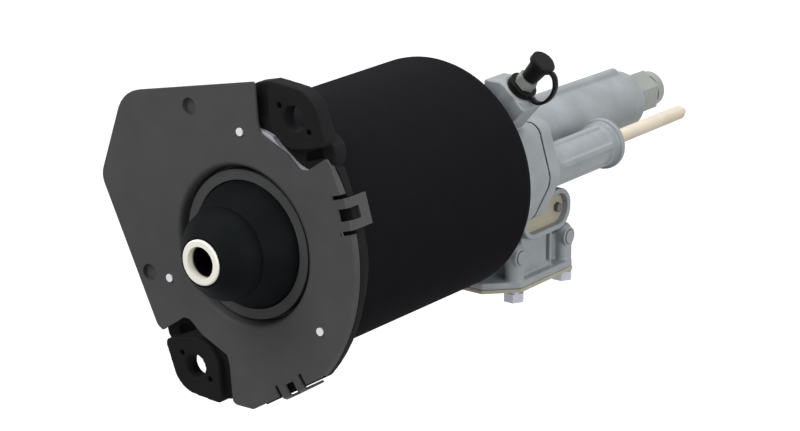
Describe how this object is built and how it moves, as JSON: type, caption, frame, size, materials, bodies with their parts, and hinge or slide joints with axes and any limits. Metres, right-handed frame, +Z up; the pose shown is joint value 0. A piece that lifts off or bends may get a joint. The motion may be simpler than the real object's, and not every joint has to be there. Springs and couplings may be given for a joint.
{
  "type": "clutch servo",
  "caption": "Air-assisted clutch servo: black air cylinder with shield and booted push rod, cast rear housing with hydraulic tube, relay valve, bleeder and wear indicator rod.",
  "frame": {"origin": "on the axis of the air cylinder, in the plane of the two mounting ear pads", "axes": "+Y along the cylinder axis to the rear, towards the fluid inlet; the push rod works along -Y; +Z up with the relay valve below and the bleeder above; +X to the bleeder and indicator side"},
  "size_m": [0.1725, 0.4331, 0.1848],
  "materials": {
    "black_casting": "satin black paint on cast iron",
    "black_shell": "semi-gloss black paint on drawn steel",
    "shield_sheet": "dark grey sheet, semi-matt",
    "shield_gasket": "light metal spacer, plain",
    "rivet": "bright aluminium",
    "boot_rubber": "smooth black rubber",
    "cap_rubber": "black rubber",
    "seal_rubber": "black nitrile rubber",
    "cast_aluminium": "fine shot-blasted casting",
    "piston_aluminium": "turned casting",
    "bronze": "plain bearing bronze",
    "spring_steel": "phosphated spring steel",
    "zinc_steel": "zinc plated",
    "ground_steel": "ground and hardened",
    "gasket_fibre": "dark fibre gasket",
    "cover_fibre": "pale fibre gasket",
    "cover_sheet": "pale chromated sheet",
    "screw_black": "blackened steel",
    "fitting_steel": "zinc-nickel plated",
    "copper": "copper sealing washer",
    "indicator_plastic": "ivory acetal",
    "rod_steel": "yellow passivated, bright end",
    "guide_plastic": "filled PTFE",
    "valve_rubber": "rubber faced valve",
    "filter_felt": "sintered felt"
  },
  "bodies": {
    "housing": {"front_cover": "black_casting", "cylinder_shell": "black_shell", "cover_seal": "seal_rubber", "shield_plate": "shield_sheet", "shield_gasket": "shield_gasket", "shield_rivets": "rivet", "boot_bellows": "boot_rubber", "boot_ring": "shield_sheet", "return_spring": "spring_steel", "cylinder_head": "cast_aluminium", "head_seal": "seal_rubber", "rod_wiper": "seal_rubber", "plunger_bush": "bronze", "plunger_seal": "seal_rubber", "seal_circlip": "spring_steel", "joint_gasket": "gasket_fibre", "hydraulic_housing": "cast_aluminium", "head_bolts": "zinc_steel", "bolt_washers": "zinc_steel", "inlet_fitting": "fitting_steel", "inlet_washer": "copper", "indicator_seal": "seal_rubber", "valve_gasket": "cover_fibre", "valve_cover": "cover_sheet", "valve_bolts": "zinc_steel", "channel_plugs": "cast_aluminium", "window_cover": "cover_sheet", "window_screw": "screw_black", "valve_guide": "bronze", "exhaust_filter": "filter_felt", "bleeder_ring": "cap_rubber", "bleeder_strap": "cap_rubber", "control_spring": "spring_steel", "inlet_spring": "spring_steel"},
    "piston": {"air_piston": "piston_aluminium", "piston_lip_seal": "seal_rubber", "piston_guide_ring": "guide_plastic", "hydraulic_plunger": "ground_steel", "plunger_nut": "zinc_steel", "rod_socket": "ground_steel", "indicator_rod": "indicator_plastic", "indicator_clip": "spring_steel"},
    "push_rod": {"push_rod": "rod_steel", "push_rod_ball": "ground_steel", "boot_nose": "boot_rubber"},
    "bleeder_screw": {"bleeder_screw": "fitting_steel"},
    "bleeder_cap": {"bleeder_cap": "cap_rubber"},
    "control_piston": {"control_piston": "piston_aluminium"},
    "inlet_valve": {"inlet_valve": "valve_rubber"}
  },
  "joints": [
    {"name": "piston_slide", "type": "slide", "parent": "housing", "child": "piston", "axis": [0, -1, 0], "range_m": [0, 0.05], "stiffness_N_per_m": 2000, "springref_m": -0.03, "deforming": ["return_spring", "boot_bellows"]},
    {"name": "push_rod_tilt", "type": "hinge", "parent": "piston", "child": "push_rod", "pos_m": [0, 0.1223, 0], "axis": [1, 0, 0], "range_deg": [-2, 2], "stiffness_Nm_per_rad": 40},
    {"name": "bleeder_screw_turn", "type": "hinge", "parent": "housing", "child": "bleeder_screw", "pos_m": [0.04527, 0.1874, 0.05207], "axis": [0.6561, 0, 0.7547], "range_deg": [0, 360]},
    {"name": "bleeder_cap_pull", "type": "slide", "parent": "housing", "child": "bleeder_cap", "axis": [0.6561, 0, 0.7547], "range_m": [0, 0.02], "deforming": ["bleeder_strap"]},
    {"name": "control_piston_slide", "type": "slide", "parent": "housing", "child": "control_piston", "axis": [0, 0, -1], "range_m": [0, 0.003], "stiffness_N_per_m": 1500, "springref_m": -0.004, "deforming": ["control_spring"]},
    {"name": "inlet_valve_slide", "type": "slide", "parent": "housing", "child": "inlet_valve", "axis": [0, 0, -1], "range_m": [0, 0.002], "stiffness_N_per_m": 1500, "springref_m": -0.003, "deforming": ["inlet_spring"]}
  ],
  "couplings": [
    {"joint": "inlet_valve_slide", "follows": "control_piston_slide", "ratio": 0.65}
  ]
}
